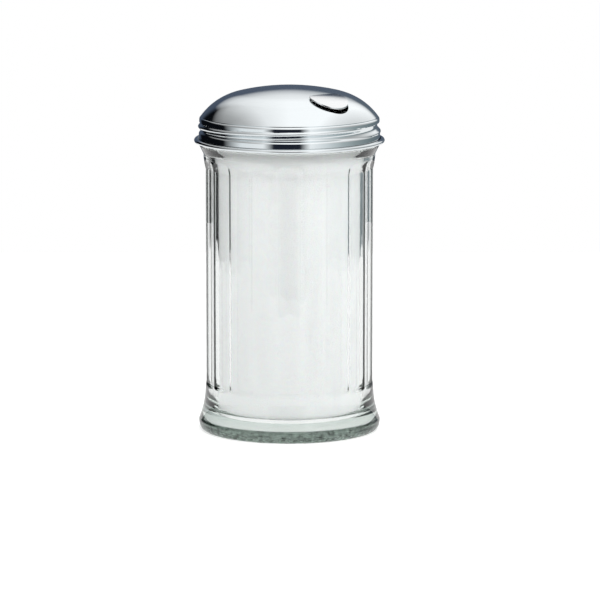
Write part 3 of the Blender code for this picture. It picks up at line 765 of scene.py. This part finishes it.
def make_flap():
    steps = 40
    low_u = LEAF_BACK_U - NECK_TAIL
    high_u = LEAF_TIP_U + NECK_TAIL
    stations = [low_u + (high_u - low_u) * i / steps for i in range(steps + 1)]
    under = [(u, leaf_z(u, 0.0)) for u in stations]
    over = [(u, leaf_z(u, LEAF_SHEET)) for u in reversed(stations)]
    flap = plate("flap", [under + over], LEAF_HALF_WIDTH + NECK_TAIL, FLAP_PLANE)
    outline = hole_outline(LEAF_HALF_WIDTH, LEAF_REACH, LEAF_BACK_U, 72)
    plan = upright("leaf_tool", outline, SKIRT_FOOT_Z, TOP_Z + OVERRUN)
    tail_u = LEAF_BACK_U + NECK_TAIL
    near_u = LEAF_BACK_U + NECK_TAIL / 4
    high_skin = LEAF_SHEET * (1 - NECK_SKIN_SHARE)
    low_skin = LEAF_SHEET * NECK_SKIN_SHARE
    side = [(tail_u, leaf_z(tail_u, LEAF_SHEET / 2)), (near_u, leaf_z(near_u, high_skin))]
    side += arc((PIN_U, PIN_Z), (KNUCKLE_RADIUS, KNUCKLE_RADIUS), ROLL_START, ROLL_END, 48)
    side += [(near_u, leaf_z(near_u, low_skin))]
    neck = plate("neck_tool", [side, ring(BORE_RADIUS, 32)], NECK_HALF_WIDTH, FLAP_PLANE)
    combine(flap, plan, "INTERSECT")
    combine(flap, neck, "UNION")
    settled(flap, (plan, neck))
    bevel = flap.modifiers.new("worn_edge", "BEVEL")
    bevel.width = LEAF_EDGE_WEAR
    bevel.segments = 2
    bevel.limit_method = "ANGLE"
    bevel.angle_limit = math.radians(40)
    return settled(flap, (), SHARP_DEGREES)


# Studio


def stage_floor():
    """White sweep under the object. It is white to the eye and keeps the object's soft shadow."""
    mesh = bpy.data.meshes.new("floor")
    side, front, back = 0.46, 0.34, 0.46
    low = -0.02 * MM  # a hair of air under the glass, as under a real one
    corners = [(-side, -front, low), (side, -front, low), (side, back, low), (-side, back, low)]
    mesh.from_pydata(corners, [], [(0, 1, 2, 3)])
    floor = new_object("floor", mesh)
    made, tree = new_material("white_sweep")
    rays = add_node(tree, "ShaderNodeLightPath")
    lift = add_node(
        tree, "ShaderNodeMath", {"operation": "MULTIPLY", "_1": 0.5}, _0=rays.outputs["Is Camera Ray"]
    )
    mirrored = add_node(
        tree,
        "ShaderNodeMath",
        {"operation": "MAXIMUM"},
        _0=rays.outputs["Is Glossy Ray"],
        _1=rays.outputs["Is Transmission Ray"],
    )
    paper = add_node(tree, "ShaderNodeBsdfDiffuse", {"Color": linear("#F2F2F2")})
    glow = add_node(tree, "ShaderNodeEmission", {"Color": (1, 1, 1, 1)}, Strength=lift.outputs[0])
    lit = add_node(tree, "ShaderNodeAddShader", _0=paper.outputs[0], _1=glow.outputs[0])
    # Painted light: under the jar the floor glows brighter for bounced rays, so the sugar's underside gets
    # back what the glass keeps of its light
    place = add_node(tree, "ShaderNodeTexCoord").outputs["Object"]
    out = add_node(tree, "ShaderNodeVectorMath", {"operation": "LENGTH"}, _0=place)
    under = add_node(
        tree,
        "ShaderNodeMapRange",
        {"From Min": BASE_RADIUS, "From Max": 0.9 * BASE_RADIUS},
        Value=out.outputs["Value"],
    )
    glow_under_jar = add_node(
        tree,
        "ShaderNodeMath",
        {"operation": "MULTIPLY"},
        _0=under.outputs[0],
        _1=rays.outputs["Diffuse Depth"],
    )
    strength = add_node(
        tree, "ShaderNodeMapRange", {"To Min": 0.95, "To Max": 1.6}, Value=glow_under_jar.outputs[0]
    )
    white = add_node(tree, "ShaderNodeEmission", {"Color": (1, 1, 1, 1)}, Strength=strength.outputs[0])
    both = add_node(
        tree, "ShaderNodeMixShader", _0=mirrored.outputs[0], _1=lit.outputs[0], _2=white.outputs[0]
    )
    output = add_node(tree, "ShaderNodeOutputMaterial")
    tree.links.new(both.outputs[0], output.inputs["Surface"])
    mesh.materials.append(made)


def fill_ramp(node, stops):
    """Sets the stops of a colour ramp, each a position with an sRGB code or a plain level."""
    elements = node.color_ramp.elements
    while len(elements) < len(stops):
        elements.new(0.5)
    for element, (position, colour) in zip(elements, stops):
        element.position = position
        element.color = linear(colour) if isinstance(colour, str) else (colour, colour, colour, 1.0)
    return node.outputs["Color"]


def light_tent():
    """A tent of white paper: a dark slot at the front, a black side on the left and grey behind."""
    world = bpy.data.worlds.new("light_tent")
    bpy.context.scene.world = world
    world.use_nodes = True
    tree = world.node_tree
    tree.nodes.clear()
    rays = add_node(tree, "ShaderNodeLightPath")
    white = add_node(tree, "ShaderNodeRGB").outputs[0]
    white.default_value = linear("#FFFFFF")
    direction = add_node(tree, "ShaderNodeTexCoord").outputs["Generated"]
    parts = add_node(tree, "ShaderNodeSeparateXYZ", Vector=direction)
    front = add_node(tree, "ShaderNodeMath", {"operation": "MULTIPLY", "_1": -1.0}, _0=parts.outputs["Y"])
    turn = add_node(
        tree, "ShaderNodeMath", {"operation": "ARCTAN2"}, _0=parts.outputs["X"], _1=front.outputs[0]
    )
    share = add_node(
        tree, "ShaderNodeMapRange", {"From Min": -math.pi, "From Max": math.pi}, Value=turn.outputs[0]
    )
    # Degrees round from the camera's side, to the right, with the colour that the walls have there
    walls = (
        (-180, "#525C6C"),
        (-160, "#465060"),
        (-150, "#0A0C10"),
        (-92, "#0A0C10"),
        (-64, "#E6EAEC"),
        (-33, "#F4F6F7"),
        (-20, "#1E222C"),
        (14, "#1E222C"),
        (27, "#F8FAFB"),
        (48, "#D8DEE0"),
        (72, "#AAB4B6"),
        (94, "#8E999B"),
        (130, "#707C80"),
        (180, "#525C6C"),
    )
    wall_ramp = add_node(tree, "ShaderNodeValToRGB", Fac=share.outputs[0])
    wall = fill_ramp(wall_ramp, [((degrees + 180) / 360, colour) for degrees, colour in walls])
    # How far the walls' upper edge is lowered, in the sine of its height. It is raised at the left. A ramp
    # holds nothing under 0, so it holds the drops counted from this one
    ramp_zero = -0.4
    drops = (
        (-180, 0.02),
        (-166, 0.02),
        (-159, 0.0),
        (-150, -0.12),
        (-105, -0.12),
        (-85, 0.2),
        (-36, 0.3),
        (-20, 0.0),
        (20, 0.0),
        (36, 0.3),
        (152, 0.3),
        (164, 0.02),
        (180, 0.02),
    )
    drop_ramp = add_node(tree, "ShaderNodeValToRGB", Fac=share.outputs[0])
    held = [((degrees + 180) / 360, amount - ramp_zero) for degrees, amount in drops]
    drop = fill_ramp(drop_ramp, held)
    lowered = add_node(tree, "ShaderNodeMath", {"operation": "ADD"}, _0=drop, _1=parts.outputs["Z"])
    up = add_node(tree, "ShaderNodeMath", {"operation": "ADD", "_1": ramp_zero}, _0=lowered.outputs[0])
    # Degrees up, with how far the walls have given way to the roof there
    rises = ((17.5, 0.0), (22.0, 0.4), (29.5, 0.75), (39.0, 0.92), (52.0, 1.0))
    rise_ramp = add_node(tree, "ShaderNodeValToRGB", Fac=up.outputs[0])
    rise = fill_ramp(rise_ramp, [(math.sin(math.radians(degrees)), amount) for degrees, amount in rises])
    # The roof is brightest over the middle
    across = add_node(tree, "ShaderNodeMapRange", {"From Min": -1.0}, Value=parts.outputs["X"])
    roof_ramp = add_node(tree, "ShaderNodeValToRGB", Fac=across.outputs[0])
    roof = fill_ramp(
        roof_ramp, ((0.0, 0.2), (0.2, 0.5), (0.34, 0.92), (0.5, 1.1), (0.72, 1.12), (1.0, 0.4))
    )
    tent = add_node(tree, "ShaderNodeMix", {"data_type": "RGBA"}, _0=rise, _6=wall, _7=roof)
    # Straight behind, what is seen through the glass is the white backdrop
    behind = add_node(
        tree, "ShaderNodeMapRange", {"From Min": 0.8, "From Max": 0.93}, Value=parts.outputs["Y"]
    )
    seen = add_node(
        tree,
        "ShaderNodeMath",
        {"operation": "MULTIPLY"},
        _0=behind.outputs[0],
        _1=rays.outputs["Is Transmission Ray"],
    )
    backed = add_node(
        tree, "ShaderNodeMix", {"data_type": "RGBA"}, _0=seen.outputs[0], _6=tent.outputs[2], _7=white
    )
    # Matt surfaces are lit evenly, a little more from the right. The sugar gets back what its glass keeps
    matt = add_node(
        tree, "ShaderNodeMath", {"operation": "GREATER_THAN", "_1": 0.5}, _0=rays.outputs["Diffuse Depth"]
    )
    level = add_node(
        tree,
        "ShaderNodeMapRange",
        {"From Min": -1.0, "To Min": 0.8, "To Max": 1.1},
        Value=parts.outputs["X"],
    )
    kept_back = add_node(
        tree,
        "ShaderNodeMapRange",
        {"To Min": 1.0, "To Max": 2.25},
        Value=rays.outputs["Is Transmission Ray"],
    )
    amount = add_node(
        tree, "ShaderNodeMath", {"operation": "MULTIPLY"}, _0=level.outputs[0], _1=kept_back.outputs[0]
    )
    evenly = amount.outputs[0]
    even = add_node(tree, "ShaderNodeCombineColor", Red=evenly, Green=evenly, Blue=evenly)
    soft = add_node(
        tree,
        "ShaderNodeMix",
        {"data_type": "RGBA"},
        _0=matt.outputs[0],
        _6=backed.outputs[2],
        _7=even.outputs[0],
    )
    shown = add_node(
        tree,
        "ShaderNodeMix",
        {"data_type": "RGBA"},
        _0=rays.outputs["Is Camera Ray"],
        _6=soft.outputs[2],
        _7=white,
    )
    background = add_node(tree, "ShaderNodeBackground", {"Strength": 1.0}, Color=shown.outputs[2])
    output = add_node(tree, "ShaderNodeOutputWorld")
    tree.links.new(background.outputs[0], output.inputs["Surface"])


def soft_lamp(name, place, size, watts):
    """A round soft lamp, turned to the middle of the jar. Polished steel doesn't mirror it."""
    aim = Vector((0, 0, 0.06))
    lamp = bpy.data.lights.new(name, "AREA")
    lamp.shape = "DISK"
    lamp.size = size
    lamp.energy = watts
    obj = bpy.data.objects.new(name, lamp)
    obj.location = place
    obj.rotation_euler = (aim - Vector(place)).to_track_quat("-Z", "Y").to_euler()
    obj.visible_glossy = False
    bpy.context.scene.collection.objects.link(obj)


def place_camera():
    """The photograph's view, fitted to the outlines of the lid, the panels and the base."""
    distance = 1.9
    height = 0.36985
    pitch = math.radians(9.474)
    axis_pixel = 289.3
    focal_pixels = 4716.3
    frame_pixels = 600
    sensor = 0.036
    camera = bpy.data.cameras.new("camera")
    camera.sensor_width = sensor / MM
    camera.lens = focal_pixels / frame_pixels * sensor / MM
    camera.clip_end = 20
    obj = bpy.data.objects.new("camera", camera)
    aside = (frame_pixels / 2 - axis_pixel) * distance / focal_pixels
    obj.location = (aside, -distance, height)
    obj.rotation_euler = (math.pi / 2 - pitch, 0, 0)
    bpy.context.scene.collection.objects.link(obj)
    bpy.context.scene.camera = obj


def main():
    bpy.context.scene.view_settings.view_transform = "Standard"
    place_camera()
    stage_floor()
    light_tent()
    soft_lamp("top_light", (0.25, -0.35, 0.9), size=0.7, watts=0.6)

    glass = pressed_glass()
    steel = spun_stainless(
        "spun_stainless_steel", "#EFF4F6", roughness=0.08, anisotropy=0.2, line_mm=0.25, line_strength=0.12
    )
    leaf_steel = spun_stainless(
        "stamped_leaf_steel", "#F0F1F2", roughness=0.14, anisotropy=0.2, line_mm=0.3, line_strength=0.1
    )
    # Hardly any light gets into the shut lid, so its inner face has painted shade: it is written darker
    # than its steel is
    shaded_inside = plain_steel("inner_steel_painted_shade", "#3C3F41", roughness=0.6)
    mill = plain_steel("mill_finish_steel", "#84888C", roughness=0.45)

    dress(make_jar(), glass, "jar", "pressed_glass", "glass_jar")
    dress(make_sugar(), granulated_sugar(), "jar", "white_sugar", "sugar_fill")
    dress(make_lid(steel, shaded_inside), steel, "lid", "polished_steel", "lid_shell")
    dress(make_flap(), leaf_steel, "flap", "leaf_steel", "pour_flap")
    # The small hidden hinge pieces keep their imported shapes
    for node in ("hinge_bracket", "hinge_pin"):
        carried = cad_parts[node]
        carried.data.materials.clear()
        carried.data.materials.append(mill)


main()
